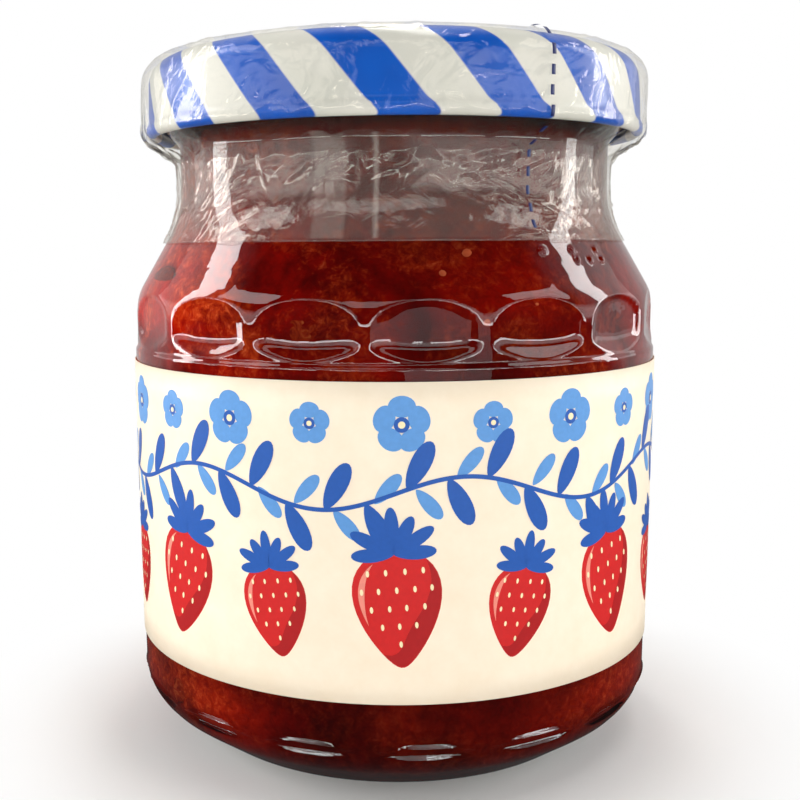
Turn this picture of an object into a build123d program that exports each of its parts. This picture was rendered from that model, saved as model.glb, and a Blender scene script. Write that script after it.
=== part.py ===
"""Filled jam jar with a twist-off cap, a wrap-round paper label and a clear shrink seal.

The jar stands upright on the origin, +Z up, with its front towards -Y. Millimetres throughout.
Every turned piece is drawn as a half section of (radius, height) points and revolved about Z.
"""

from build123d import *
from math import atan2, cos, pi, radians, sin, tan
import os

# Jar body
body_radius = 35.1  # label panel, the widest glass
base_radius = 25.9  # corner between the standing ring and the heel
base_corner = 4.7  # rounding of that corner
heel_height = 6.7
heel_rounding = 6.0
push_up = 1.4  # hollow under the base
push_up_radius = 19.0
push_up_slope = 2.0  # radial run of its side
wall = 2.9
floor_thickness = 2.8
inner_heel_radius = 6.2

# Neck and shoulder, set out downwards from the rim
jar_height = 88.9
finish_height = 9.9
neck_length = 8.79  # from the finish down to where the lines of neck and shoulder meet
neck_radius = 28.5
neck_rounding = 12.0
shoulder_angle = 30.2  # lean of the shoulder from the vertical
shoulder_rounding = 8.0
band_step = 0.25  # the facet band is this much slimmer than the label panel
band_slope = 0.5  # height over which the step runs out

# Finish, hidden under the cap
finish_step = 1.5  # it stands out from the neck by this much
bead_step = 2.1  # and its bead by this much
bead_height = 1.6
bead_slope = 1.0
finish_rounding = 0.6

# Moulded facets: a ring of arched windows pressed into the band
facet_count = 16
first_facet = 6.25  # degrees to the right of the front
facet_depth = 0.8
facet_rise = 1.3  # the arches top out this far above the corner of wall and shoulder
facet_arch = 3.3  # height of an arch above its straight sides
facet_side = 3.2  # height of those sides
facet_margin = 1.4  # from their feet down to the end of the band
facet_sag = 0.5  # the sill dips this much at its middle
facet_ridge = 1.5  # glass left between two windows, measured on their floors
facet_reach = 2.0  # the windows widen by this much over the same distance outwards

# Shallow thumb dimples round the heel, in line with the facets
dimple_angle = 15.0  # how far below the horizontal they face
dimple_roller = 2.4  # radius of the roller that would press one
dimple_depth = 0.3
dimple_reach = 8.0  # half the roller's length

# Small moulded dots on the shoulder
dot_radius = 0.6
dot_rise = 0.3
dot_rows = ((1.1, (33.0, 41.5, 50.0)), (2.2, (42.0, 46.5, 51.0)))  # below the seal, degrees right of front

# Jam
jam_gap = 0.05
jam_headspace = 5.0

# Cap
sheet = 0.5  # wall of the pressed metal
cap_seat_gap = 0.1
cap_height = 9.7
cap_clearance = 1.35  # from the bead to the cap's inner wall
cap_shoulder = 3.0
curl_radius = 0.75
curl_proud = 0.35
panel_drop = 0.9
panel_clearance = 0.6  # from the glass rim to the sunk panel
panel_slope = 1.2
panel_rounding = 0.8
button_radius = 9.0
button_rise = 0.4

# Label
paper = 0.15
label_gap = 0.05
label_foot = 4.71  # clear glass between the heel and the label
label_head = 1.35  # and between the label and the facet band

# Shrink seal
film = 0.15
film_gap = 0.1
film_bulge = 0.35  # how far it stands off the side of the cap
film_lip = 3.5  # width of the flat ring that lies on the cap
film_skirt = 3.81  # the lower edge lies this far below the corner of neck and shoulder
film_tuck = 2.2  # it leaves the neck this far below the cap
film_rounding = 2.0

lean = radians(shoulder_angle)
band_radius = body_radius - band_step
finish_start = jar_height - finish_height
neck_height = finish_start - neck_length
shoulder_height = neck_height - (band_radius - neck_radius) / tan(lean)
finish_radius = neck_radius + finish_step
bead_radius = neck_radius + bead_step
bead_bottom = finish_start + bead_step
heel_slope = atan2(heel_height, body_radius - base_radius)
heel_arc_height = heel_height + heel_rounding * tan((pi / 2 - heel_slope) / 2)
facet_top = shoulder_height + facet_rise
facet_spring = facet_top - facet_arch
facet_bottom = facet_spring - facet_side
band_bottom = facet_bottom - facet_margin
label_bottom = heel_arc_height + label_foot
label_top = band_bottom - label_head
film_cut = neck_height - film_skirt
cap_radius = bead_radius + cap_clearance + sheet
cap_top = jar_height + cap_seat_gap + sheet
cap_bottom = cap_top - cap_height
curl_centre = cap_radius + curl_proud - curl_radius
curl_height = cap_bottom + curl_radius
panel_foot = neck_radius - wall - panel_clearance


def from_front(degrees_right):
    """Angle about Z from +X of a place this many degrees to the right of the front."""
    return degrees_right - 90


def shoulder_point(height, outset):
    """Half-section point that stands off the straight shoulder, square to it, by outset."""
    surface = band_radius - (height - shoulder_height) * tan(lean)
    return surface + outset * cos(lean), height + outset * sin(lean)


def cavity(gap, top):
    """Half section of the inside of the jar up to a height, shrunk all round by a gap: corners, roundings."""
    inset = wall + gap
    drop = inset * tan(lean / 2)
    floor = push_up + floor_thickness + gap
    corners = [
        (0, floor),
        (body_radius - inset, floor),
        (body_radius - inset, shoulder_height - drop - band_step / tan(lean)),
        (neck_radius - inset, neck_height - drop),
        (neck_radius - inset, top),
    ]
    roundings = [inner_heel_radius - gap, shoulder_rounding - inset, neck_rounding + inset]
    return corners, roundings


with BuildPart() as facet_tool:
    floor_radius = band_radius - facet_depth
    floor_half_width = floor_radius * tan(pi / facet_count) - facet_ridge / 2
    for grow in (0, facet_reach):
        with BuildSketch(Plane.YZ.offset(floor_radius + grow)):
            with BuildLine():
                left_foot = (-floor_half_width - grow, facet_bottom - grow)
                right_foot = (floor_half_width + grow, facet_bottom - grow)
                left_spring = (-floor_half_width - grow, facet_spring)
                right_spring = (floor_half_width + grow, facet_spring)
                ThreePointArc(left_foot, (0, facet_bottom - facet_sag - grow), right_foot)
                Line(right_foot, right_spring)
                ThreePointArc(right_spring, (0, facet_top + grow), left_spring)
                Line(left_spring, left_foot)
            make_face()
    loft()

with BuildPart() as dimple_tool:
    arc_radius = body_radius - heel_rounding
    roller_reach = heel_rounding + dimple_roller - dimple_depth
    roller_radius = arc_radius + roller_reach * cos(radians(dimple_angle))
    roller_height = heel_arc_height - roller_reach * sin(radians(dimple_angle))
    with BuildSketch(Plane.XZ):
        with Locations((roller_radius, roller_height)):
            Circle(dimple_roller)
    extrude(amount=dimple_reach, both=True)

with BuildPart() as jar_glass:
    with BuildSketch(Plane.XZ):
        with BuildLine():
            outside = FilletPolyline(
                (0, push_up),
                (push_up_radius, push_up),
                (push_up_radius + push_up_slope, 0),
                (base_radius, 0),
                (body_radius, heel_height),
                (body_radius, band_bottom),
                (band_radius, band_bottom + band_slope),
                (band_radius, shoulder_height),
                (neck_radius, neck_height),
                (neck_radius, finish_start),
                (bead_radius, bead_bottom),
                (bead_radius, bead_bottom + bead_height),
                (finish_radius, bead_bottom + bead_height + bead_slope),
                (finish_radius, jar_height),
                (0, jar_height),
                radius=[
                    finish_rounding,
                    finish_rounding,
                    base_corner,
                    heel_rounding,
                    band_step,
                    band_step,
                    shoulder_rounding,
                    neck_rounding,
                    finish_rounding,
                    finish_rounding,
                    finish_rounding,
                    finish_rounding,
                    finish_rounding,
                ],
            )
            Line(outside @ 1, outside @ 0)
        make_face()
    revolve(axis=Axis.Z)
    with BuildSketch(Plane.XZ):
        corners, roundings = cavity(0, jar_height + wall)
        with BuildLine():
            inside = FilletPolyline(*corners, radius=roundings)
            Polyline(inside @ 1, (0, jar_height + wall), inside @ 0)
        make_face()
    revolve(axis=Axis.Z, mode=Mode.SUBTRACT)
    with PolarLocations(0, facet_count, start_angle=from_front(first_facet)):
        add(facet_tool.part, mode=Mode.SUBTRACT)
    with PolarLocations(0, facet_count, start_angle=from_front(first_facet)):
        add(dimple_tool.part, mode=Mode.SUBTRACT)
    for below_seal, angles in dot_rows:
        dot_reach, dot_height = shoulder_point(film_cut - below_seal, dot_rise - dot_radius)
        for angle in angles:
            turn = radians(from_front(angle))
            with Locations((dot_reach * cos(turn), dot_reach * sin(turn), dot_height)):
                Sphere(dot_radius)

with BuildPart() as jam:
    with BuildSketch(Plane.XZ):
        jam_top = jar_height - jam_headspace
        corners, roundings = cavity(jam_gap, jam_top)
        with BuildLine():
            surface = FilletPolyline(*corners, radius=roundings)
            Polyline(surface @ 1, (0, jam_top), surface @ 0)
        make_face()
    revolve(axis=Axis.Z)

with BuildPart() as lid:
    panel_radius = panel_foot - panel_slope
    button_foot = button_radius + panel_slope
    dish = cap_top - panel_drop
    for inset, mode in ((0, Mode.ADD), (sheet, Mode.SUBTRACT)):
        with BuildSketch(Plane.XZ):
            with BuildLine():
                pressing = FilletPolyline(
                    (0, dish + button_rise - inset),
                    (button_radius, dish + button_rise - inset),
                    (button_foot, dish - inset),
                    (panel_radius, dish - inset),
                    (panel_foot, cap_top - inset),
                    (cap_radius - inset, cap_top - inset),
                    (cap_radius - inset, curl_height),
                    radius=[panel_rounding] * 4 + [cap_shoulder - inset],
                )
                Polyline(pressing @ 1, (0, curl_height), pressing @ 0)
            make_face()
        revolve(axis=Axis.Z, mode=mode)
    with BuildSketch(Plane.XZ):
        with Locations((curl_centre, curl_height)):
            Circle(curl_radius)
    revolve(axis=Axis.Z)

with BuildPart() as label:
    with BuildSketch(Plane.XY.offset(label_bottom)):
        Circle(body_radius + label_gap + paper)
        Circle(body_radius + label_gap, mode=Mode.SUBTRACT)
    extrude(amount=label_top - label_bottom)

with BuildPart() as seal_film:
    side_radius = cap_radius + curl_proud + film_bulge
    neck_bend = neck_height + film_gap * tan(lean / 2)
    with BuildSketch(Plane.XZ):
        with BuildLine():
            FilletPolyline(
                shoulder_point(film_cut, film_gap),
                (neck_radius + film_gap, neck_bend),
                (neck_radius + film_gap, cap_bottom - film_tuck),
                (side_radius, cap_bottom),
                (side_radius, cap_top + film_gap),
                (panel_foot + film_lip - panel_rounding, cap_top + film_gap),
                radius=[neck_rounding - film_gap, film_rounding, film_rounding, cap_shoulder],
            )
            offset(amount=film, side=Side.RIGHT)
        make_face()
    revolve(axis=Axis.Z)

pieces = {
    "jar_glass": jar_glass,
    "jam": jam,
    "lid": lid,
    "label": label,
    "seal_film": seal_film,
}
os.makedirs("parts", exist_ok=True)
for name, piece in pieces.items():
    piece.part.label = name
    export_step(piece.part, f"parts/{name}.step")
    print(name, piece.part.bounding_box(), round(piece.part.volume))
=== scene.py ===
"""Looks of the filled jam jar: moulded glass, jam, lacquered cap, paper label and clear shrink seal.

Lengths are in millimetres until a mesh is written, which turns them to metres. Angles round the jar are
in degrees to the right of the front, which faces -Y. Heights and outside radii come from the CAD frame.
"""

import bmesh
import bpy
import math
import numpy as np
from mathutils import Matrix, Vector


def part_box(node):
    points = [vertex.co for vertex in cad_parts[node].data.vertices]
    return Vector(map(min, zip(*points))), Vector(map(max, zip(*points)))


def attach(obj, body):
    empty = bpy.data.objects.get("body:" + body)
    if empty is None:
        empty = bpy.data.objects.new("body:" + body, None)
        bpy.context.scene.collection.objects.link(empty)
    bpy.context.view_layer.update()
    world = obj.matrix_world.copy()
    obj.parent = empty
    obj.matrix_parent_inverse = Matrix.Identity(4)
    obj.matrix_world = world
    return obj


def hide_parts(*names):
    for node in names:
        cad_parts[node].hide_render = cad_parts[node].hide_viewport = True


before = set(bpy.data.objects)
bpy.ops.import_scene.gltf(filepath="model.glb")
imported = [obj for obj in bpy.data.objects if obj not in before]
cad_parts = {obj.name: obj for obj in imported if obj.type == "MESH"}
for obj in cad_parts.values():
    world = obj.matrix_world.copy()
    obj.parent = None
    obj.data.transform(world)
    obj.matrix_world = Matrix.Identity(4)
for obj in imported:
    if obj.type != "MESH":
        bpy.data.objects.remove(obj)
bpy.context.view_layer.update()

MM = 0.001
RNG = np.random.default_rng(11)

# Places read from the frame, in millimetres
JAR_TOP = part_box("jar_glass")[1].z / MM
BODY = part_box("jar_glass")[1].x / MM
LABEL_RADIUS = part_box("label")[1].x / MM
LABEL_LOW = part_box("label")[0].z / MM
LABEL_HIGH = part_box("label")[1].z / MM
LID_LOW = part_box("lid")[0].z / MM
LID_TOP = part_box("lid")[1].z / MM
LID_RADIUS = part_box("lid")[1].x / MM
FILM_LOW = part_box("seal_film")[0].z / MM
FILM_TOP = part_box("seal_film")[1].z / MM
FILM_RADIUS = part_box("seal_film")[1].x / MM
JAM_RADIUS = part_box("jam")[1].x / MM
JAM_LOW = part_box("jam")[0].z / MM
JAM_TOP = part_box("jam")[1].z / MM
INSIDE_FLOOR = JAM_LOW - 0.05
INSIDE_HEEL = 6.2

# Sections of the glass, as the CAD has them
LEAN = math.radians(30.2)
BAND = BODY - 0.25
NECK = 28.5
NECK_BEND = JAR_TOP - 9.9 - 8.79
SHOULDER = NECK_BEND - (BAND - NECK) / math.tan(LEAN)
FACETS = 16
FIRST_FACET = 6.25
FACET_FLOOR = BAND - 0.8
FACET_TOP = SHOULDER + 1.3
FACET_SPRING = FACET_TOP - 3.3
FACET_FOOT = FACET_SPRING - 3.2
DIMPLE_HEIGHT = 8.2
DOTS = np.array([(a, FILM_LOW - 1.15) for a in (33.0, 41.5, 50.0)]
                + [(a, FILM_LOW - 2.25) for a in (42.0, 46.5, 51.0)])


# ---------------------------------------------------------------- shapes

def rounded(corners, radii, step=0.05):
    """Half section through corners: straight runs joined by tangent arcs of the given radii, evenly sampled."""
    corners = [np.array(c, float) for c in corners]
    points = [corners[0]]
    for before, corner, after, radius in zip(corners, corners[1:], corners[2:], radii):
        a = (before - corner) / np.linalg.norm(before - corner)
        b = (after - corner) / np.linalg.norm(after - corner)
        half = math.acos(np.clip(a @ b, -1, 1)) / 2
        middle = corner + (a + b) / np.linalg.norm(a + b) * radius / math.sin(half)
        start = corner + a * radius / math.tan(half) - middle
        end = corner + b * radius / math.tan(half) - middle
        first = math.atan2(start[1], start[0])
        turn = (math.atan2(end[1], end[0]) - first + math.pi) % (2 * math.pi) - math.pi
        angles = first + turn * np.linspace(0, 1, 25)
        points.extend(middle + radius * np.stack([np.cos(angles), np.sin(angles)], 1))
    points.append(corners[-1])
    points = np.array(points)
    run = np.concatenate([[0], np.cumsum(np.linalg.norm(np.diff(points, axis=0), axis=1))])
    even = np.linspace(0, run[-1], int(run[-1] / step))
    return np.stack([np.interp(even, run, points[:, k]) for k in (0, 1)], 1)


def spaced(line, count, fine=()):
    """Points along a line, closer together where fine = (lowest height, highest height, weight) says."""
    run = np.concatenate([[0], np.cumsum(np.linalg.norm(np.diff(line, axis=0), axis=1))])
    weight = np.full(len(line), 1.0)
    for low, high, more in fine:
        weight += more * ((line[:, 1] > low) & (line[:, 1] < high))
    share = np.concatenate([[0], np.cumsum((weight[1:] + weight[:-1]) / 2 * np.diff(run))])
    at = np.interp(np.linspace(0, share[-1], count), share, run)
    return np.stack([np.interp(at, run, line[:, k]) for k in (0, 1)], 1)


def normals_of(line):
    """Unit normals of a half section, to the right of its direction of travel."""
    along = np.gradient(line, axis=0)
    along /= np.maximum(np.linalg.norm(along, axis=1, keepdims=True), 1e-9)
    return np.stack([along[:, 1], -along[:, 0]], 1)


def turned(radius, height, degrees):
    """Points in space of a radius and a height at each angle to the right of the front."""
    angle = np.radians(np.broadcast_to(degrees, radius.shape))
    return np.stack([radius * np.sin(angle), -radius * np.cos(angle), height], -1)


def away(degrees, centre):
    """Signed angle from centre, between -180 and 180 degrees."""
    return (degrees - centre + 180) % 360 - 180


def smooth_max(a, b, width):
    """The larger of two fields, blended over a width where they meet."""
    share = np.clip(0.5 + 0.5 * (a - b) / width, 0, 1)
    return b + (a - b) * share + width * share * (1 - share)


def smooth_min(a, b, width):
    """The smaller of two fields, blended over a width where they meet."""
    return -smooth_max(-a, -b, width)


def mesh_of(name, points, quads, smooth=True):
    """A mesh object from points in millimetres and faces, with poles and seams merged and faces outwards."""
    mesh = bpy.data.meshes.new(name)
    mesh.from_pydata((points.reshape(-1, 3) * MM).tolist(), [], quads.tolist())
    work = bmesh.new()
    work.from_mesh(mesh)
    bmesh.ops.remove_doubles(work, verts=work.verts, dist=1e-7)
    bmesh.ops.dissolve_degenerate(work, edges=work.edges, dist=1e-8)
    work.to_mesh(mesh)
    work.free()
    mesh.polygons.foreach_set("use_smooth", np.full(len(mesh.polygons), smooth))
    mesh.update()
    piece = bpy.data.objects.new(name, mesh)
    bpy.context.scene.collection.objects.link(piece)
    return piece


def grid_quads(rows, columns, wrap, start=0):
    """Faces of a grid of rows by columns, wrapped round in the column direction or left open."""
    across = columns if wrap else columns - 1
    r, c = np.meshgrid(np.arange(rows - 1), np.arange(across), indexing="ij")
    d = (c + 1) % columns
    quads = np.stack([r * columns + c, r * columns + d, (r + 1) * columns + d, (r + 1) * columns + c], -1)
    return quads.reshape(-1, 4) + start


def solid_of_turn(name, line, columns=256, degrees=None, outset=None):
    """A closed half section carried round the axis; outset moves each point along its section's normal."""
    degrees = np.linspace(0, 360, columns, endpoint=False) if degrees is None else degrees
    radius = np.repeat(line[:, :1], len(degrees), 1)
    height = np.repeat(line[:, 1:], len(degrees), 1)
    if outset is not None:
        normal = normals_of(line)
        move = outset(degrees[None, :], radius, height)
        radius = radius + move * normal[:, :1]
        height = height + move * normal[:, 1:]
    points = turned(np.maximum(radius, 0), height, degrees[None, :])
    return mesh_of(name, points, grid_quads(len(line), len(degrees), True))


# ---------------------------------------------------------------- materials

def linear(code):
    """A colour written as sRGB hex, as linear RGBA."""
    parts = [int(code[i:i + 2], 16) / 255 for i in (1, 3, 5)]
    return tuple([p / 12.92 if p <= 0.04045 else ((p + 0.055) / 1.055) ** 2.4 for p in parts] + [1.0])


def node(tree, kind, inputs=None, stops=(), **settings):
    """Adds a node, sets its properties, and gives each named input a value or a link from a socket.

    Stops are the places and sRGB hex colours of a colour ramp.
    """
    made = tree.nodes.new(kind)
    for key, value in settings.items():
        setattr(made, key, value)
    for key, value in (inputs or {}).items():
        if isinstance(value, bpy.types.NodeSocket):
            tree.links.new(value, made.inputs[key])
        else:
            made.inputs[key].default_value = value
    if stops:
        elements = made.color_ramp.elements
        while len(elements) < len(stops):
            elements.new(0.5)
        for element, (place, code) in zip(elements, stops):
            element.position = place
            element.color = linear(code)
    return made


def new_material(name):
    """An empty node material and its tree."""
    material = bpy.data.materials.new(name)
    material.use_nodes = True
    material.node_tree.nodes.clear()
    return material, material.node_tree


def size_scale(millimetres):
    """Noise scale on Object coordinates that gives features of about this size."""
    return 1 / (millimetres * MM)


def soda_lime_glass():
    """Clear pressed soda-lime glass, IOR 1.52: sharp reflections, and lamps reach what is inside it."""
    material, tree = new_material("pressed_soda_lime_glass")
    place = node(tree, "ShaderNodeTexCoord").outputs["Object"]
    ripple = node(tree, "ShaderNodeTexNoise", {"Vector": place, "Scale": size_scale(4.5), "Detail": 2.0})
    wave = node(tree, "ShaderNodeBump", {"Height": ripple.outputs[0], "Strength": 0.25, "Distance": 0.0003})
    glass = node(tree, "ShaderNodeBsdfPrincipled", {
        "Base Color": linear("#fbfdfc"), "Roughness": 0.025, "IOR": 1.52, "Transmission Weight": 1.0,
        "Normal": wave.outputs[0]})
    clear = node(tree, "ShaderNodeBsdfTransparent", {"Color": linear("#f4f7f5")})
    path = node(tree, "ShaderNodeLightPath")
    mixed = node(tree, "ShaderNodeMixShader", {0: path.outputs["Is Shadow Ray"], 1: glass.outputs[0],
                                               2: clear.outputs[0]})
    node(tree, "ShaderNodeOutputMaterial", {"Surface": mixed.outputs[0]})
    return material


def fruit_jam():
    """Cooked strawberry jam: dark red gel with paler orange-brown pulp in clouds and threads.
    Its colour also holds painted light: brighter towards the left, and a painted glow low at both sides.
    """
    material, tree = new_material("cooked_strawberry_jam")
    place = node(tree, "ShaderNodeTexCoord").outputs["Object"]
    cloud = node(tree, "ShaderNodeTexNoise", {"Vector": place, "Scale": size_scale(22), "Detail": 4.0,
                                              "Roughness": 0.6, "Distortion": 0.8})
    patch = node(tree, "ShaderNodeTexNoise", {"Vector": place, "Scale": size_scale(11), "Detail": 4.0,
                                              "Roughness": 0.55, "Distortion": 0.7})
    pulp = node(tree, "ShaderNodeTexNoise", {"Vector": place, "Scale": size_scale(1.1), "Detail": 3.0,
                                             "Roughness": 0.75, "Distortion": 0.5})
    gel = node(tree, "ShaderNodeValToRGB", {"Fac": cloud.outputs[0]},
               stops=[(0.34, "#3c0000"), (0.5, "#620300"), (0.66, "#820b00")])
    fruit = node(tree, "ShaderNodeValToRGB", {"Fac": pulp.outputs[0]},
                 stops=[(0.3, "#6a1403"), (0.55, "#8c2c0c"), (0.75, "#a44a24")])
    grain = node(tree, "ShaderNodeMath", {0: pulp.outputs[0], 1: 0.3, 2: patch.outputs[0]},
                 operation="MULTIPLY_ADD")
    share = node(tree, "ShaderNodeMapRange", {"Value": grain.outputs[0], "From Min": 0.6, "From Max": 0.9,
                                              "To Max": 0.7})
    part = node(tree, "ShaderNodeSeparateXYZ", {0: place})
    # Painted glow, standing in for light shining through the gel: both sides of the jam, from 6 mm up, fading to a
    # tenth by 30 mm.
    aside = node(tree, "ShaderNodeMath", {0: part.outputs["X"]}, operation="ABSOLUTE")
    edge = node(tree, "ShaderNodeMapRange", {"Value": aside.outputs[0], "From Min": 0.012,
                                             "From Max": 0.030})
    above = node(tree, "ShaderNodeMapRange", {"Value": part.outputs["Z"], "From Min": 0.006,
                                              "From Max": 0.010})
    below = node(tree, "ShaderNodeMapRange", {"Value": part.outputs["Z"], "From Min": 0.016,
                                              "From Max": 0.030, "To Min": 1.0, "To Max": 0.1})
    low = node(tree, "ShaderNodeMath", {0: above.outputs[0], 1: below.outputs[0]}, operation="MULTIPLY")
    painted_glow = node(tree, "ShaderNodeMath", {0: edge.outputs[0], 1: low.outputs[0]}, operation="MULTIPLY")
    # Painted light: up to twice as bright towards the left, where the lamps are stronger.
    painted_left_light = node(tree, "ShaderNodeMapRange", {"Value": part.outputs["X"], "From Min": 0.005, "From Max": -0.034,
                                             "To Min": 1.0, "To Max": 2.0})
    floats = node(tree, "ShaderNodeMapRange", {"Value": part.outputs["Z"], "From Min": 0.014, "From Max": 0.045,
                                               "To Min": 0.35, "To Max": 1.0})
    fruity = node(tree, "ShaderNodeMath", {0: share.outputs[0], 1: floats.outputs[0]}, operation="MULTIPLY")
    most = node(tree, "ShaderNodeMath", {0: fruity.outputs[0], 1: painted_left_light.outputs[0]}, operation="MULTIPLY")
    # The painted glow and painted left light also shift the colour towards the paler pulp.
    more = node(tree, "ShaderNodeMath", {0: painted_glow.outputs[0], 1: 0.3, 2: most.outputs[0]},
                operation="MULTIPLY_ADD", use_clamp=True)
    mixed = node(tree, "ShaderNodeMix", {"Factor": more.outputs[0], 6: gel.outputs[0],
                                          7: fruit.outputs[0]}, data_type="RGBA")
    speck = node(tree, "ShaderNodeMapRange", {"Value": pulp.outputs[0], "From Min": 0.3, "From Max": 0.7,
                                              "To Min": 0.72, "To Max": 1.25})
    # Darker towards the bottom: 0.45 at the floor, full by 36 mm up.
    darker_towards_bottom = node(tree, "ShaderNodeMapRange", {"Value": part.outputs["Z"], "From Min": 0.0, "From Max": 0.036,
                                                "To Min": 0.45, "To Max": 1.0})
    # Darker towards the top of the jam: from 64 mm up, down to 0.6 by 72 mm.
    darker_near_jam_top = node(tree, "ShaderNodeMapRange", {"Value": part.outputs["Z"], "From Min": 0.064,
                                                "From Max": 0.072, "To Min": 1.0, "To Max": 0.6})
    even = node(tree, "ShaderNodeMath", {0: speck.outputs[0], 1: darker_towards_bottom.outputs[0]}, operation="MULTIPLY")
    dark = node(tree, "ShaderNodeMath", {0: even.outputs[0], 1: darker_near_jam_top.outputs[0]}, operation="MULTIPLY")
    # Painted light: the brightness gain from the painted glow and the painted left light.
    bright = node(tree, "ShaderNodeMath", {0: painted_glow.outputs[0], 1: 1.6, 2: painted_left_light.outputs[0]},
                  operation="MULTIPLY_ADD")
    tone = node(tree, "ShaderNodeMath", {0: dark.outputs[0], 1: bright.outputs[0]}, operation="MULTIPLY")
    colour = node(tree, "ShaderNodeVectorMath", {0: mixed.outputs[2], "Scale": tone.outputs[0]},
                  operation="SCALE")
    jam = node(tree, "ShaderNodeBsdfPrincipled", {
        "Base Color": colour.outputs[0], "Roughness": 0.5, "Specular IOR Level": 0.0,
        "Subsurface Weight": 0.15, "Subsurface Radius": (1.0, 0.12, 0.04), "Subsurface Scale": 0.002})
    node(tree, "ShaderNodeOutputMaterial", {"Surface": jam.outputs[0]})
    return material


def fruit_flesh():
    """Cooked strawberry flesh: soft brownish orange with paler fibres, matt where the gel wets it."""
    material, tree = new_material("cooked_strawberry_flesh")
    place = node(tree, "ShaderNodeTexCoord").outputs["Object"]
    fibres = node(tree, "ShaderNodeTexNoise", {"Vector": place, "Scale": size_scale(1.4), "Detail": 4.0,
                                               "Roughness": 0.7, "Distortion": 1.5})
    colour = node(tree, "ShaderNodeValToRGB", {"Fac": fibres.outputs[0]},
                  stops=[(0.35, "#5e0d03"), (0.55, "#7d2209"), (0.72, "#93401f")])
    flesh = node(tree, "ShaderNodeBsdfPrincipled", {
        "Base Color": colour.outputs[0], "Roughness": 0.6, "Specular IOR Level": 0.0})
    node(tree, "ShaderNodeOutputMaterial", {"Surface": flesh.outputs[0]})
    return material


def plain(name, code, roughness=0.5, specular=0.5, coat=0.0):
    """A plain ink, seed or bubble finish with a faint mottle, so that it isn't one flat colour."""
    material, tree = new_material(name)
    place = node(tree, "ShaderNodeTexCoord").outputs["Object"]
    mottle = node(tree, "ShaderNodeTexNoise", {"Vector": place, "Scale": size_scale(0.5), "Detail": 2.0})
    shade = node(tree, "ShaderNodeMapRange", {"Value": mottle.outputs[0], "To Min": 0.9, "To Max": 1.08})
    tint = node(tree, "ShaderNodeVectorMath", {0: linear(code)[:3], "Scale": shade.outputs[0]},
                operation="SCALE")
    surface = node(tree, "ShaderNodeBsdfPrincipled", {
        "Base Color": tint.outputs[0], "Roughness": roughness, "Specular IOR Level": specular,
        "Coat Weight": coat, "Coat Roughness": 0.1})
    node(tree, "ShaderNodeOutputMaterial", {"Surface": surface.outputs[0]})
    return material


def lacquered_tinplate():
    """Tinplate printed in blue and warm grey stripes under clear lacquer; the stripes wind round the cap."""
    material, tree = new_material("lacquered_tinplate")
    place = node(tree, "ShaderNodeTexCoord").outputs["Object"]
    part = node(tree, "ShaderNodeSeparateXYZ", {0: place})
    front = node(tree, "ShaderNodeMath", {0: part.outputs["Y"], 1: -1.0}, operation="MULTIPLY")
    turn = node(tree, "ShaderNodeMath", {0: part.outputs["X"], 1: front.outputs[0]}, operation="ARCTAN2")
    level = node(tree, "ShaderNodeVectorMath", {0: place, 1: (1.0, 1.0, 0.0)}, operation="MULTIPLY")
    reach = node(tree, "ShaderNodeVectorMath", {0: level.outputs[0]}, operation="LENGTH")
    drawn = node(tree, "ShaderNodeMath", {0: LID_RADIUS * MM, 1: reach.outputs["Value"]},
                 operation="SUBTRACT")
    climb = node(tree, "ShaderNodeMath", {0: part.outputs["Z"], 1: drawn.outputs[0]}, operation="ADD")
    sweep = node(tree, "ShaderNodeMapRange", {
        "Value": climb.outputs[0], "From Min": LID_LOW * MM, "From Max": (LID_TOP + 2) * MM,
        "To Min": 0.0, "To Max": math.radians(16.5)}, clamp=False)
    wound = node(tree, "ShaderNodeMath", {0: turn.outputs[0], 1: sweep.outputs[0]}, operation="ADD")
    phase = node(tree, "ShaderNodeMath", {0: wound.outputs[0], 1: 15.0, 2: math.radians(15 * -3.8 + 90)},
                 operation="MULTIPLY_ADD")
    wave = node(tree, "ShaderNodeMath", {0: phase.outputs[0]}, operation="SINE")
    edge = node(tree, "ShaderNodeMapRange", {"Value": wave.outputs[0], "From Min": 0.06,
                                             "From Max": -0.06})
    button = node(tree, "ShaderNodeMapRange", {"Value": reach.outputs["Value"], "From Min": 9.3 * MM,
                                               "From Max": 9.2 * MM})
    light = node(tree, "ShaderNodeMath", {0: edge.outputs[0], 1: button.outputs[0]}, operation="MAXIMUM")
    inks = node(tree, "ShaderNodeTexNoise", {"Vector": place, "Scale": size_scale(9), "Detail": 2.0})
    blue = node(tree, "ShaderNodeValToRGB", {"Fac": inks.outputs[0]},
                stops=[(0.3, "#004cb0"), (0.7, "#005cc8")])
    grey = node(tree, "ShaderNodeValToRGB", {"Fac": inks.outputs[0]},
                stops=[(0.3, "#cfcfc6"), (0.7, "#dedcd4")])
    colour = node(tree, "ShaderNodeMix", {"Factor": light.outputs[0], 6: blue.outputs[0],
                                           7: grey.outputs[0]}, data_type="RGBA")
    orange_peel = node(tree, "ShaderNodeTexNoise", {"Vector": place, "Scale": size_scale(1.2), "Detail": 1.0})
    peel = node(tree, "ShaderNodeBump", {"Height": orange_peel.outputs[0], "Strength": 0.05,
                                         "Distance": 0.0002})
    lacquer = node(tree, "ShaderNodeBsdfPrincipled", {
        "Base Color": colour.outputs[2], "Roughness": 0.32, "Specular IOR Level": 0.25, "Coat Weight": 0.3,
        "Coat Roughness": 0.08, "Normal": peel.outputs[0]})
    node(tree, "ShaderNodeOutputMaterial", {"Surface": lacquer.outputs[0]})
    return material


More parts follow.
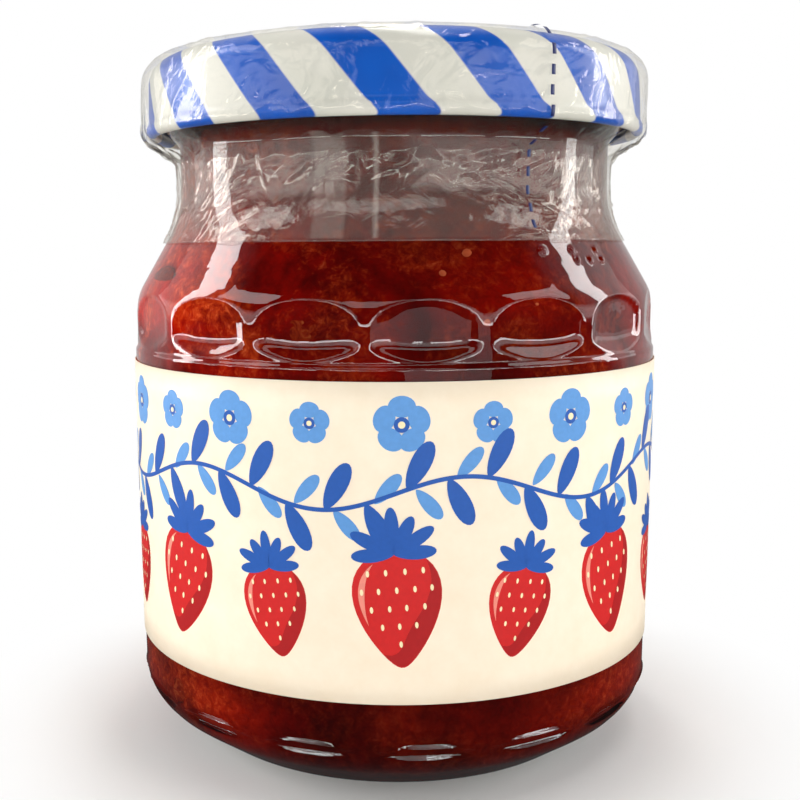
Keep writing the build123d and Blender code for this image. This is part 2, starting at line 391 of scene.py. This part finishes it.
def shrink_film():
    """Clear shrunk PET film: hard glints on its folds, and a milky haze where it has shrunk most."""
    material, tree = new_material("clear_shrink_film")
    haze = node(tree, "ShaderNodeAttribute", attribute_name="haze").outputs["Fac"]
    place = node(tree, "ShaderNodeTexCoord").outputs["Object"]
    ripple = node(tree, "ShaderNodeTexNoise", {"Vector": place, "Scale": size_scale(3.5), "Detail": 3.0,
                                               "Distortion": 1.0})
    crinkle = node(tree, "ShaderNodeBump", {"Height": ripple.outputs[0], "Strength": 0.6,
                                            "Distance": 0.0004})
    facing = node(tree, "ShaderNodeLayerWeight", {"Blend": 0.5, "Normal": crinkle.outputs[0]})
    steep = node(tree, "ShaderNodeMath", {0: facing.outputs["Facing"], 1: 4.0}, operation="POWER")
    mirror = node(tree, "ShaderNodeMath", {0: steep.outputs[0], 1: 0.28, 2: 0.027}, operation="MULTIPLY_ADD")
    both = node(tree, "ShaderNodeMath", {0: mirror.outputs[0], 1: haze}, operation="ADD", use_clamp=True)
    share = node(tree, "ShaderNodeMath", {0: mirror.outputs[0], 1: both.outputs[0]}, operation="DIVIDE")
    clear = node(tree, "ShaderNodeBsdfTransparent", {"Color": linear("#fdfdfc")})
    film = node(tree, "ShaderNodeBsdfPrincipled", {
        "Base Color": linear("#f0e6da"), "Roughness": 0.1, "Metallic": share.outputs[0],
        "Normal": crinkle.outputs[0]})
    seen = node(tree, "ShaderNodeMixShader", {0: both.outputs[0], 1: clear.outputs[0],
                                              2: film.outputs[0]})
    node(tree, "ShaderNodeOutputMaterial", {"Surface": seen.outputs[0]})
    return material


def coated_paper():
    """Smooth coated label paper, a warm white with a faint fibre mottle and a soft sheen."""
    material, tree = new_material("coated_label_paper")
    place = node(tree, "ShaderNodeTexCoord").outputs["Object"]
    mottle = node(tree, "ShaderNodeTexNoise", {"Vector": place, "Scale": size_scale(5), "Detail": 5.0,
                                               "Roughness": 0.65})
    colour = node(tree, "ShaderNodeValToRGB", {"Fac": mottle.outputs[0]},
                  stops=[(0.3, "#f3e2c8"), (0.7, "#f8ead3")])
    fibre = node(tree, "ShaderNodeTexNoise", {"Vector": place, "Scale": size_scale(0.4), "Detail": 3.0})
    tooth = node(tree, "ShaderNodeBump", {"Height": fibre.outputs[0], "Strength": 0.08, "Distance": 0.0001})
    paper = node(tree, "ShaderNodeBsdfPrincipled", {
        "Base Color": colour.outputs[0], "Roughness": 0.42, "Specular IOR Level": 0.35, "Normal": tooth.outputs[0]})
    node(tree, "ShaderNodeOutputMaterial", {"Surface": paper.outputs[0]})
    return material


def stand_in(piece, material, *nodes, slot=None):
    """Gives a finished piece its material, sets it on the jar and lets it stand for CAD nodes."""
    piece.data.materials.clear()
    piece.data.materials.append(material)
    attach(piece, "root")
    if nodes:
        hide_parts(*nodes)
    return piece


# ---------------------------------------------------------------- glass jar

def outside_line():
    """Outer half section of the jar from the middle of its base up to the rim."""
    return rounded(
        [(0, 1.4), (19, 1.4), (21, 0), (25.9, 0), (BODY, 6.7), (BODY, FACET_FOOT - 1.4),
         (BAND, FACET_FOOT - 0.9), (BAND, SHOULDER), (NECK, NECK_BEND), (NECK, JAR_TOP - 9.9),
         (NECK + 2.1, JAR_TOP - 7.8), (NECK + 2.1, JAR_TOP - 6.2), (NECK + 1.5, JAR_TOP - 5.2),
         (NECK + 1.5, JAR_TOP), (NECK - 2.9, JAR_TOP)],
        [0.6, 0.6, 4.7, 6.0, 0.6, 0.6, 8.0, 12.0, 0.6, 0.6, 0.6, 0.6, 0.9])


def inside_line(gap):
    """Inner half section of the jar from the rim down to the middle of its floor, moved in by gap."""
    inset = 2.9 + gap
    drop = inset * math.tan(LEAN / 2)
    return [(NECK - inset, JAR_TOP), (NECK - inset, NECK_BEND - drop),
            (BODY - inset, SHOULDER - drop - 0.25 / math.tan(LEAN)), (BODY - inset, INSIDE_FLOOR + gap),
            (0, INSIDE_FLOOR + gap)]


def relief(degrees, radius, height):
    """Moulded relief along the surface normal: arched flats pressed in, heel dimples in, and dots out.

    A dimple is a lens 11.2 mm long. Across it, the profile drops at its lower flank, and ends in a lip
    above it; both scale with the lens's half height, so that the flanks keep their slope to its points.
    """
    pitch = 360 / FACETS
    turn = (degrees - FIRST_FACET + pitch / 2) % pitch - pitch / 2
    across = FACET_FLOOR * np.tan(np.radians(turn))
    half = FACET_FLOOR * math.tan(math.pi / FACETS) - 1.15
    arch = np.hypot(across / half, np.maximum(height - FACET_SPRING, 0) / (FACET_TOP - FACET_SPRING - 0.5))
    sill = FACET_FOOT + 0.5 + 0.5 * (across / half) ** 2 - height
    beyond = smooth_max((arch - 1) * 4.2, sill, 0.8)
    rise = np.log1p(np.exp(np.clip((beyond + 0.35) / 0.2, -30, 30))) * 0.2 * 0.5
    floor = FACET_FLOOR / np.cos(np.radians(turn)) + rise
    in_band = (height > FACET_FOOT - 2.5) & (height < FACET_TOP + 3) & (radius > NECK + 2)
    pressed = np.where(in_band, smooth_min(floor - radius, np.zeros_like(radius), 0.12), 0)
    size = 0.85 * np.maximum(1 - (BODY * np.radians(turn) / 5.6) ** 4, 0)
    place = (height - DIMPLE_HEIGHT) / np.maximum(size, 0.04)
    profile = np.interp(place, [-1.15, -0.85, -0.5, 0.45, 0.85, 0.95, 1.25, 1.6],
                        [0, -0.265, -0.54, -0.5, 0.19, 0.28, 0.138, 0])
    dimple = size * profile * (radius > 30)
    bumps = np.zeros_like(radius)
    for angle, level in DOTS:
        reach = np.hypot(radius * np.radians(away(degrees, angle)), (height - level) / math.cos(LEAN))
        dome = np.sqrt(np.maximum(0.72 ** 2 - reach ** 2, 0)) - 0.34
        bumps = np.maximum(bumps, smooth_max(dome, np.zeros_like(dome), 0.08) * (radius > 30) * (reach < 1))
    return pressed * math.cos(0.2) + dimple + bumps


def make_glass():
    outside = spaced(outside_line(), 222, [(-1, 0.7, -0.9), (6.9, 9.7, 19), (10.2, FACET_FOOT - 2, -0.9),
                                           (FACET_FOOT - 2, FACET_TOP + 1.5, 8.5),
                                           (FACET_TOP + 1.5, FILM_LOW + 0.5, 5)])
    inside = spaced(rounded(inside_line(0), [14.9, 5.1, INSIDE_HEEL]), 44)
    line = np.vstack([outside, inside[1:]])
    turn = np.linspace(0, 360, 7201)
    pitch = 360 / FACETS
    ridge = np.abs((turn - FIRST_FACET) % pitch - pitch / 2)
    weight = 1 + 1.6 * np.exp(-(ridge / 1.6) ** 2) + 3.0 * ((turn > 31) & (turn < 53))
    share = np.concatenate([[0], np.cumsum(weight[1:])])
    degrees = np.interp(np.linspace(0, share[-1], 366, endpoint=False), share, turn)
    rows = len(outside)

    def outset(degrees, radius, height):
        move = relief(degrees, radius, height)
        move[rows:] = 0
        return move

    return solid_of_turn("jar_wall", line, degrees=degrees, outset=outset)


# ---------------------------------------------------------------- jam

def jam_line(reach):
    """Half section of the jam, reaching just into the glass wall, with a curved rim at its level."""
    wall = rounded(inside_line(-reach), [14.9, 5.1, INSIDE_HEEL])
    wall = wall[wall[:, 1] < JAM_TOP]
    top = np.array([(NECK - 2.9 + reach - 0.1, JAM_TOP + 0.1), (NECK - 4.5, JAM_TOP - 0.6),
                    (NECK - 8, JAM_TOP - 0.9), (0, JAM_TOP - 0.9)])
    return np.vstack([top[::-1], wall])


def scatter_on_wall(count, low, high):
    """Random places on the jam's wall: angle, height and wall radius there."""
    wall = rounded(inside_line(0), [14.9, 5.1, INSIDE_HEEL])[::-1]
    wall = wall[wall[:, 0] > 24]
    height = RNG.uniform(low, high, count)
    radius = np.interp(height, wall[:, 1], wall[:, 0])
    return RNG.uniform(0, 360, count), height, radius


def blobs(name, count, low, high, lengths, widths, sink, bulge=0.8):
    """Many small ellipsoids on the jam's wall: each a 10 by 6 grid of longitude and latitude, turned at random."""
    degrees, height, radius = scatter_on_wall(count, low, high)
    lon, lat = np.meshgrid(np.linspace(0, 2 * np.pi, 10, endpoint=False), np.linspace(-np.pi / 2, np.pi / 2, 7))
    ball = np.stack([np.cos(lat) * np.cos(lon), np.cos(lat) * np.sin(lon), np.sin(lat)], -1).reshape(-1, 3)
    length = RNG.uniform(*lengths, count)[:, None]
    width = RNG.uniform(*widths, count)[:, None]
    spin = RNG.uniform(0, 2 * np.pi, count)[:, None]
    u, v, w = (ball[None, :, k] for k in range(3))
    across = u * length * np.cos(spin) - v * width * np.sin(spin)
    up = u * length * np.sin(spin) + v * width * np.cos(spin)
    out = w * width * bulge + radius[:, None] - sink
    points = turned(out, height[:, None] + up, degrees[:, None] + np.degrees(across / radius[:, None]))
    each = grid_quads(7, 10, True)
    quads = (each[None] + (np.arange(count) * len(ball))[:, None, None]).reshape(-1, 4)
    return mesh_of(name, points, quads)


# ---------------------------------------------------------------- cap

def make_cap():
    """Pressed cap: rounded shoulder, sunk panel with a button, rolled curl at the foot, hollow below."""
    side = LID_RADIUS - 0.35
    dish = LID_TOP - 0.9
    curl = LID_RADIUS - 0.75
    outer = rounded([(0, dish + 0.4), (9, dish + 0.4), (10.2, dish), (23.8, dish), (25, LID_TOP),
                     (side - 0.25, LID_TOP), (side, LID_LOW + 1.9), (LID_RADIUS, LID_LOW + 1.2)],
                    [0.8, 0.8, 0.8, 0.8, 3.0, 0.8])
    roll = np.radians(np.linspace(20, -200, 24))
    foot = np.stack([curl + 0.75 * np.cos(roll), LID_LOW + 0.75 + 0.75 * np.sin(roll)], 1)
    inner = rounded([(side - 0.5, LID_LOW + 2), (side - 0.75, LID_TOP - 0.5), (25.3, LID_TOP - 0.5),
                     (24.1, dish - 0.5), (0, dish - 0.5)], [2.5, 0.8, 0.8])
    outer = spaced(outer, 120)
    line = np.vstack([outer, foot, spaced(inner, 40)])
    return solid_of_turn("cap", line[::-1], columns=360)


# ---------------------------------------------------------------- shrink seal

def film_line():
    """Section of the seal from its cut edge on the shoulder, up the neck, out round the cap and over its rim."""
    r = NECK + 0.22
    foot = (BAND - (FILM_LOW - SHOULDER) * math.tan(LEAN) + 0.22 / math.cos(LEAN), FILM_LOW + 0.03)
    side = FILM_RADIUS - 0.12
    return rounded([foot, (r, NECK_BEND), (r, LID_LOW - 2.4), (side, LID_LOW - 0.1), (side, FILM_TOP - 0.1),
                    (NECK - 0.8, FILM_TOP - 0.1)], [11.8, 2.0, 1.6, 3.0])


def creases(degrees, run, count, turns, runs, lengths, widths, heights, slant):
    """Height of many straight folds, each a ridge with a rounded back, at random places and slants."""
    total = np.zeros(np.broadcast(degrees, run).shape)
    for _ in range(count):
        at_turn, at_run = RNG.uniform(*turns), RNG.uniform(*runs)
        angle = RNG.normal(slant, 0.5)
        length, width, height = RNG.uniform(*lengths), RNG.uniform(*widths), RNG.uniform(*heights)
        x = away(degrees, at_turn) * math.radians(1) * 30
        y = run - at_run
        along = x * math.cos(angle) + y * math.sin(angle)
        across = y * math.cos(angle) - x * math.sin(angle) + 0.04 * along ** 2 / length
        total += height * np.exp(-np.abs(across / width) ** 1.4 - (along / length) ** 4)
    return total


def make_film():
    line = spaced(film_line(), 120)
    run = np.concatenate([[0], np.cumsum(np.linalg.norm(np.diff(line, axis=0), axis=1))])
    degrees = np.linspace(0, 360, 400, endpoint=False)
    d, s = degrees[None, :], run[:, None]
    under_cap = run[np.argmin(np.abs(line[:, 1] - (LID_LOW - 1.5)) + 9 * (line[:, 0] > 32))]
    side = run[np.argmin(np.abs(line[:, 1] - (LID_LOW + 4)) + 9 * (line[:, 0] < 32))]
    fold = creases(d, s, 150, (0, 360), (under_cap - 2.5, under_cap + 2.5), (1.5, 5), (0.2, 0.5), (0.15, 0.55), 1.45)
    fold += creases(d, s, 110, (0, 360), (5, under_cap - 1), (2, 6), (0.2, 0.45), (0.05, 0.2), 0.75)
    fold += creases(d, s, 55, (-110, -28), (0, 7), (1.5, 4), (0.18, 0.4), (0.08, 0.3), 0.5)
    fold += creases(d, s, 75, (22, 120), (0, 8), (1.5, 4), (0.18, 0.4), (0.08, 0.3), 0.2)
    fold += creases(d, s, 90, (120, 250), (0, 8), (1.5, 4), (0.18, 0.4), (0.08, 0.3), 0.3)
    fold += creases(d, s, 140, (0, 360), (side - 5, side + 9), (2, 7), (0.25, 0.6), (0.04, 0.15), 1.1)
    swell = np.sin(np.radians(d * 7 + 60)) * np.sin(s * 0.5) + np.sin(np.radians(d * 13 + 25 * np.sin(s * 0.4)))
    neck = np.clip(s / 3, 0, 1) * np.clip((under_cap + 1 - s) / 3, 0, 1)
    fold += np.clip(0.09 * (swell + 1.2), 0, 1) * neck
    billow = 0.1 + 0.1 * np.sin(np.radians(d * 5 + 40)) * np.sin(np.radians(d * 3))
    reach = np.exp(-((s - side) / 4) ** 2)
    move = 0.8 * np.tanh(fold / 0.8) + billow * reach
    normal = normals_of(line)
    radius = line[:, :1] + move * normal[:, :1]
    height = line[:, 1:] + move * normal[:, 1:] * (s > 2)
    piece = mesh_of("seal", turned(radius, height, d), grid_quads(len(line), len(degrees), True))
    thickness = piece.modifiers.new("film", "SOLIDIFY")
    thickness.thickness = 0.05 * MM
    thickness.offset = 0
    points = np.zeros(len(piece.data.vertices) * 3, np.float32)
    piece.data.vertices.foreach_get("co", points)
    x, y, z = points.reshape(-1, 3).T / MM
    turn = np.degrees(np.arctan2(x, -y))
    low_haze = np.interp(z, [FILM_LOW, FILM_LOW + 0.15, 72, 77, LID_LOW, LID_LOW + 2],
                         [0.3, 0.042, 0.038, 0.03, 0.02, 0.0])
    overlap = ((away(turn, -14) > -4) & (away(turn, -14) < 4)) * 0.05
    seam = (np.abs(away(turn, -3.5)) < 0.25) * 0.12
    haze = np.where(np.hypot(x, y) > LID_RADIUS - 2, low_haze * 0.3, low_haze + overlap + seam)
    piece.data.attributes.new("haze", "FLOAT", "POINT").data.foreach_set("value", haze.astype(np.float32))
    return piece


# ---------------------------------------------------------------- label

def wrapped(u, v, lift):
    """Label places (along, up) in millimetres from the front's middle and the lower edge, on the paper."""
    radius = np.full(np.shape(u), LABEL_RADIUS + lift)
    return turned(radius, LABEL_LOW + v, np.degrees(u / LABEL_RADIUS))


def make_label():
    """Paper wrapped once round the jar, its end lapped over its start at the back."""
    start, lap = -172.0, 10.0
    degrees = np.linspace(start, start + 360 + lap, 380)
    lift = 0.13 * np.clip((degrees - start - 358) / 2, 0, 1)
    height = np.linspace(LABEL_LOW, LABEL_HIGH, 12)[:, None]
    radius = LABEL_RADIUS - 0.05 + lift[None, :] + 0 * height
    piece = mesh_of("label_paper", turned(radius, height + 0 * radius, degrees[None, :]),
                    grid_quads(12, 380, False))
    sheet = piece.modifiers.new("paper", "SOLIDIFY")
    sheet.thickness = 0.1 * MM
    sheet.offset = 0
    return piece


class Print:
    """Collects flat printed shapes of one ink, then makes them one piece on the label."""

    def __init__(self, name, lift):
        self.name, self.lift, self.points, self.quads, self.count = name, lift, [], [], 0

    def add(self, u, v):
        """A patch given as grids of label places."""
        self.points.append(wrapped(u, v, self.lift).reshape(-1, 3))
        self.quads.append(grid_quads(*u.shape, False, self.count))
        self.count += u.size

    def shape(self, centre, outline, turn=0.0):
        """A shape inside a closed outline (two rows of offsets), filled from its centre in rings."""
        ring = np.linspace(0, 1, 7)[:, None]
        x, y = outline[0][None, :] * ring, outline[1][None, :] * ring
        self.add(centre[0] + x * math.cos(turn) - y * math.sin(turn),
                 centre[1] + x * math.sin(turn) + y * math.cos(turn))

    def band(self, u, v, width):
        """A ribbon of a width along a line of label places."""
        slope = np.arctan2(np.gradient(v), np.gradient(u))
        side = np.array([-0.5, 0.5])[:, None] * width
        self.add(u[None] - np.sin(slope) * side, v[None] + np.cos(slope) * side)

    def piece(self, material):
        made = mesh_of(self.name, np.concatenate(self.points), np.concatenate(self.quads))
        ink = made.modifiers.new("ink", "SOLIDIFY")
        ink.thickness = 0.012 * MM
        ink.offset = 0
        made.modifiers.new("crisp_rim", "EDGE_SPLIT")
        return stand_in(made, material)


def berry_outline(width, height, count=40):
    """A berry: broad shoulders above, narrowing to a rounded tip below."""
    t = np.linspace(0, 2 * np.pi, count)
    return width / 2 * np.sin(t) * np.sqrt((1.35 + np.cos(t)) / 2.1), height / 2 * np.cos(t) - height * 0.05


def leaf_outline(length, width, count=24):
    """A pointed leaf from its stalk at the origin."""
    t = np.linspace(0, 2 * np.pi, count)
    return length / 2 * (1 - np.cos(t)), width / 2 * np.sin(t) * np.abs(np.sin(t / 2)) ** 0.4


def disc_outline(width, height, count=24):
    t = np.linspace(0, 2 * np.pi, count)
    return width / 2 * np.sin(t), height / 2 * np.cos(t)


def make_print():
    """A generic fruit print in the colours of the label: a row of berries under a sprig with flowers."""
    red, deep, pink = Print("print_red", 0.01), Print("print_deep_red", 0.024), Print("print_pink", 0.024)
    blue, sky = Print("print_blue", 0.038), Print("print_sky", 0.024)
    cream = Print("print_cream", 0.052)

    def placed(u, v, x, y, turn):
        return u + x * math.cos(turn) - y * math.sin(turn), v + x * math.sin(turn) + y * math.cos(turn)

    def crescent(ink, u, v, size, turn, first, last, thick, outer):
        """A crescent just inside the berry's outline between two shares of its way round."""
        x, y = berry_outline(size, size * 1.15, 241)
        part = slice(int(240 * first), int(240 * last))
        x, y = x[part], y[part]
        taper = np.sin(np.linspace(0, np.pi, len(x)))
        inner = outer - thick * taper
        rows = np.linspace(0, 1, 4)[:, None]
        scale = inner[None] + (outer - inner[None]) * rows
        ink.add(*placed(u, v, x[None] * scale, y[None] * scale, turn))

    def berry(u, v, size, turn):
        red.shape((u, v), berry_outline(size, size * 1.15), turn)
        crescent(deep, u, v, size, turn, 0.1, 0.62, 0.45, 0.985)
        crescent(pink, u, v, size, turn, 0.7, 0.93, 0.14, 0.86)
        for row, places in enumerate(((-0.26, -0.09, 0.09, 0.26), (-0.33, -0.17, 0.0, 0.17, 0.33),
                                      (-0.25, -0.08, 0.08, 0.25), (-0.16, 0.0, 0.16), (0.0,))):
            for x in places:
                p = placed(u, v, size * x, size * (0.3 - row * 0.175), turn)
                cream.shape(p, disc_outline(size * 0.032, size * 0.062), turn)
        top = placed(u, v, 0, size * 0.47, turn)
        for k in range(7):
            angle = turn + math.pi / 2 + (k - 3) * 0.52
            blue.shape(top, leaf_outline(size * (0.4 + 0.05 * (k % 2)), size * 0.15), angle)

    def flower(u, v, size):
        for k in range(5):
            angle = k * 2 * math.pi / 5 + 0.3
            centre = (u + size * 0.3 * math.cos(angle), v + size * 0.3 * math.sin(angle))
            sky.shape(centre, disc_outline(size * 0.46, size * 0.36), angle + math.pi / 2)
        blue.shape((u, v), disc_outline(size * 0.26, size * 0.26))
        cream.shape((u, v), disc_outline(size * 0.12, size * 0.12))

    vine = np.linspace(-97, 97, 380)
    blue.band(vine, 24.4 + 1.9 * np.sin(vine / 5.2), 0.5)
    for k, u in enumerate(np.arange(-95.0, 97, 4.6)):
        v = 24.4 + 1.9 * math.sin(u / 5.2)
        side = 1 if k % 2 else -1
        blue.shape((u, v), leaf_outline(6.0, 2.6), side * 1.1)
        sky.shape((u + 1.0, v), leaf_outline(4.4, 1.9), -side * 0.85)
    for k in range(-6, 7):
        even = k % 2 == 0
        berry(0.6 + 14.4 * k, 12.0 if even else 10.8, 12.0 if even else 9.6, (0.08, -0.16, 0.16)[k % 3])
    for k in range(-9, 10):
        flower(1.0 + 10.3 * k, 32.2, 6.7 if k % 2 == 0 else 5.0)
    red.piece(plain("red_ink", "#cf1a1a", 0.35, 0.4))
    deep.piece(plain("deep_red_ink", "#ad1014", 0.35, 0.4))
    pink.piece(plain("pink_ink", "#ee8d7c", 0.35, 0.4))
    blue.piece(plain("blue_ink", "#1f58ae", 0.35, 0.4))
    sky.piece(plain("sky_ink", "#5c97d6", 0.35, 0.4))
    cream.piece(plain("cream_ink", "#f8e6b8", 0.35, 0.4))


# ---------------------------------------------------------------- tear line

def make_tear_line(film_section):
    """Dark printed dashes down the seal, where it is meant to be torn."""
    run = np.concatenate([[0], np.cumsum(np.linalg.norm(np.diff(film_section, axis=0), axis=1))])
    normal = normals_of(film_section)
    points, quads = [], []
    for k, low in enumerate(np.arange(1.2, run[-1] - 3, 2.15)):
        s = np.linspace(low, low + 1.1, 6)
        proud = 0.4 + 0.35 * (np.interp(low, run, film_section[:, 0]) < NECK + 2)
        r = np.interp(s, run, film_section[:, 0] + proud * normal[:, 0])[:, None]
        z = np.interp(s, run, film_section[:, 1] + proud * normal[:, 1])[:, None]
        turn = 31.5 + np.array([-0.45, 0.45])[None, :] + 0.15 * math.sin(k * 2.1)
        points.append(turned(r + 0 * turn, z + 0 * turn, turn + 0 * r).reshape(-1, 3))
        quads.append(grid_quads(6, 2, False, 12 * k))
    piece = mesh_of("tear_line", np.concatenate(points), np.concatenate(quads))
    ink = piece.modifiers.new("ink", "SOLIDIFY")
    ink.thickness = 0.012 * MM
    ink.offset = 0
    return piece


# ---------------------------------------------------------------- camera, floor and light

def make_camera():
    """Set close to the jar and just below its cap, looking slightly down; the shift frames the jar."""
    data = bpy.data.cameras.new("camera")
    data.sensor_width = 36
    data.lens = 50.17
    data.shift_x = 0.0625
    data.shift_y = 0.03125
    data.clip_start = 0.005
    pitch, yaw, roll = (math.radians(a) for a in (9.073, -2.209, -0.348))
    ahead = np.array([math.sin(yaw) * math.cos(pitch), math.cos(yaw) * math.cos(pitch), -math.sin(pitch)])
    right = np.array([math.cos(yaw), -math.sin(yaw), 0])
    up = np.cross(right, ahead)
    across = math.cos(roll) * right + math.sin(roll) * up
    above = math.cos(roll) * up - math.sin(roll) * right
    turn = Matrix(np.stack([across, above, -ahead], 1).tolist()).to_4x4()
    camera = bpy.data.objects.new("camera", data)
    camera.matrix_world = Matrix.Translation((0, -155.34 * MM, 65.85 * MM)) @ turn
    bpy.context.scene.collection.objects.link(camera)
    bpy.context.scene.camera = camera


def pale_stage():
    """Matt white sweep: a floor that turns up into a backdrop behind the jar."""
    x = np.linspace(-900, 900, 9)
    line = rounded([(-900, 0), (700, 0), (700, 900)], [300], 30)
    y, z = line[:, 0][:, None], line[:, 1][:, None]
    points = np.stack([x[None] + 0 * y, y + 0 * x[None], z + 0 * x[None]], -1)
    sweep = mesh_of("floor", points, grid_quads(len(line), 9, False))
    material, tree = new_material("white_sweep")
    paint = node(tree, "ShaderNodeBsdfDiffuse", {"Color": linear("#f2f1ef")})
    bright = node(tree, "ShaderNodeEmission", {"Color": linear("#ffffff"), "Strength": 1.0})
    path = node(tree, "ShaderNodeLightPath")
    place = node(tree, "ShaderNodeTexCoord").outputs["Object"]
    from_jar = node(tree, "ShaderNodeVectorMath", {0: place}, operation="LENGTH")
    far = node(tree, "ShaderNodeMapRange", {"Value": from_jar.outputs["Value"], "From Min": 0.036,
                                            "From Max": 0.066}, interpolation_type="SMOOTHSTEP")
    seen = node(tree, "ShaderNodeMath", {0: path.outputs["Is Camera Ray"],
                                         1: path.outputs["Is Transmission Ray"]}, operation="MAXIMUM")
    share = node(tree, "ShaderNodeMath", {0: seen.outputs[0], 1: far.outputs[0]}, operation="MULTIPLY")
    mixed = node(tree, "ShaderNodeMixShader", {0: share.outputs[0], 1: paint.outputs[0],
                                               2: bright.outputs[0]})
    part = node(tree, "ShaderNodeSeparateXYZ", {0: place})
    mirrored = node(tree, "ShaderNodeMapRange", {"Value": part.outputs["Y"], "From Min": 0.05,
                                                 "From Max": 0.25, "To Min": 0.05, "To Max": 0.6},
                    interpolation_type="SMOOTHSTEP")
    dim = node(tree, "ShaderNodeEmission", {"Color": linear("#ffffff"), "Strength": mirrored.outputs[0]})
    shown = node(tree, "ShaderNodeMixShader", {0: path.outputs["Is Glossy Ray"], 1: mixed.outputs[0],
                                               2: dim.outputs[0]})
    node(tree, "ShaderNodeOutputMaterial", {"Surface": shown.outputs[0]})
    sweep.data.materials.append(material)


def lamp(name, place, target, width, height, power):
    """A soft rectangular lamp at a place, facing a target, both in millimetres."""
    data = bpy.data.lights.new(name, "AREA")
    data.shape = "RECTANGLE"
    data.size, data.size_y, data.energy = width * MM, height * MM, power
    made = bpy.data.objects.new(name, data)
    back = np.array(place, float) - np.array(target, float)
    back /= np.linalg.norm(back)
    right = np.cross((0, 0, 1), back)
    right /= np.linalg.norm(right)
    turn = Matrix(np.stack([right, np.cross(back, right), back], 1).tolist()).to_4x4()
    made.matrix_world = Matrix.Translation([c * MM for c in place]) @ turn
    bpy.context.scene.collection.objects.link(made)


def make_light():
    """Soft side lamps, an overhead strip, and a world that is bright behind the jar and dim in front of it."""
    world = bpy.data.worlds.new("studio")
    world.use_nodes = True
    tree = world.node_tree
    tree.nodes.clear()
    way = node(tree, "ShaderNodeTexCoord").outputs["Generated"]
    parts = node(tree, "ShaderNodeSeparateXYZ", {0: way})
    behind = node(tree, "ShaderNodeMapRange", {"Value": parts.outputs["Y"], "From Min": -0.15,
                                               "From Max": 0.45, "To Min": 0.03, "To Max": 1.0},
                  interpolation_type="SMOOTHSTEP")
    above = node(tree, "ShaderNodeMapRange", {"Value": parts.outputs["Z"], "From Min": 0.0,
                                              "From Max": 0.05, "To Max": 1.8})
    below = node(tree, "ShaderNodeMapRange", {"Value": parts.outputs["Z"], "From Min": 0.2,
                                              "From Max": 0.32, "To Min": 1.0, "To Max": 0.0})
    height = node(tree, "ShaderNodeMath", {0: above.outputs[0], 1: below.outputs[0]}, operation="MULTIPLY")
    off_axis = node(tree, "ShaderNodeMath", {0: parts.outputs["X"], 1: 0.12}, operation="ADD")
    off_centre = node(tree, "ShaderNodeMath", {0: off_axis.outputs[0]}, operation="ABSOLUTE")
    sides = node(tree, "ShaderNodeMapRange", {"Value": off_centre.outputs[0], "From Min": 0.2,
                                              "From Max": 0.38})
    band = node(tree, "ShaderNodeMath", {0: height.outputs[0], 1: sides.outputs[0]}, operation="MULTIPLY")
    round_jar = node(tree, "ShaderNodeMath", {0: band.outputs[0], 1: behind.outputs[0]},
                     operation="MAXIMUM")
    path = node(tree, "ShaderNodeLightPath")
    seen = node(tree, "ShaderNodeMix", {0: path.outputs["Is Camera Ray"], 2: round_jar.outputs[0],
                                        3: 1.0}, data_type="FLOAT")
    sky = node(tree, "ShaderNodeBackground", {"Color": linear("#ffffff"), "Strength": seen.outputs[0]})
    node(tree, "ShaderNodeOutputWorld", {"Surface": sky.outputs[0]})
    bpy.context.scene.world = world
    lamp("left_softbox", (-420, 62, 210), (0, 0, 50), 95, 420, 1.08)
    lamp("right_softbox", (430, 90, 205), (0, 0, 50), 80, 400, 0.75)
    lamp("front_panel", (-60, -390, 300), (0, 0, 45), 560, 80, 0.25)
    lamp("left_panel", (-378, -138, 321), (0, 0, 45), 220, 120, 0.28)
    lamp("right_panel", (378, -138, 321), (0, 0, 45), 220, 120, 0.24)
    lamp("overhead_strip", (30, 10, 420), (0, 0, 60), 300, 45, 0.5)
    lamp("front_card", (150, -371, 42), (0, 0, 50), 250, 100, 0.06)
    for turn in (-84, -46, -8, 30, 68):
        place = (420 * math.sin(math.radians(turn)), -420 * math.cos(math.radians(turn)), 54)
        lamp("low_strip", place, (0, 0, 10), 250, 20, 0.16)


# ---------------------------------------------------------------- assembly

make_camera()
pale_stage()
make_light()

stand_in(make_glass(), soda_lime_glass(), "jar_glass", slot="glass")
jam_red = fruit_jam()
stand_in(solid_of_turn("jam_fill", spaced(jam_line(0.15), 120)[::-1], columns=200), jam_red, "jam", slot="jam")
stand_in(blobs("jam_seeds", 130, 8, 66, (0.5, 0.75), (0.3, 0.42), 0.28),
         plain("strawberry_seed", "#8f5220", 0.4, 0.0))
stand_in(blobs("jam_bubbles", 70, 8, 66, (0.25, 0.75), (0.25, 0.75), 0.2),
         plain("trapped_air_bubble", "#b2512f", 0.3, 0.0))

stand_in(blobs("jam_fruit", 34, 9, 66, (2.2, 4.6), (1.2, 2.4), 0.1, 0.16), fruit_flesh())

cap = make_cap()
stand_in(cap, lacquered_tinplate(), "lid", slot="cap_paint")
stand_in(make_film(), shrink_film(), "seal_film", slot="film")
stand_in(make_tear_line(film_line()), plain("navy_ink", "#17235c", 0.3, 0.4))
stand_in(make_label(), coated_paper(), "label", slot="label_paper")
make_print()

bpy.context.scene.view_settings.view_transform = "Standard"
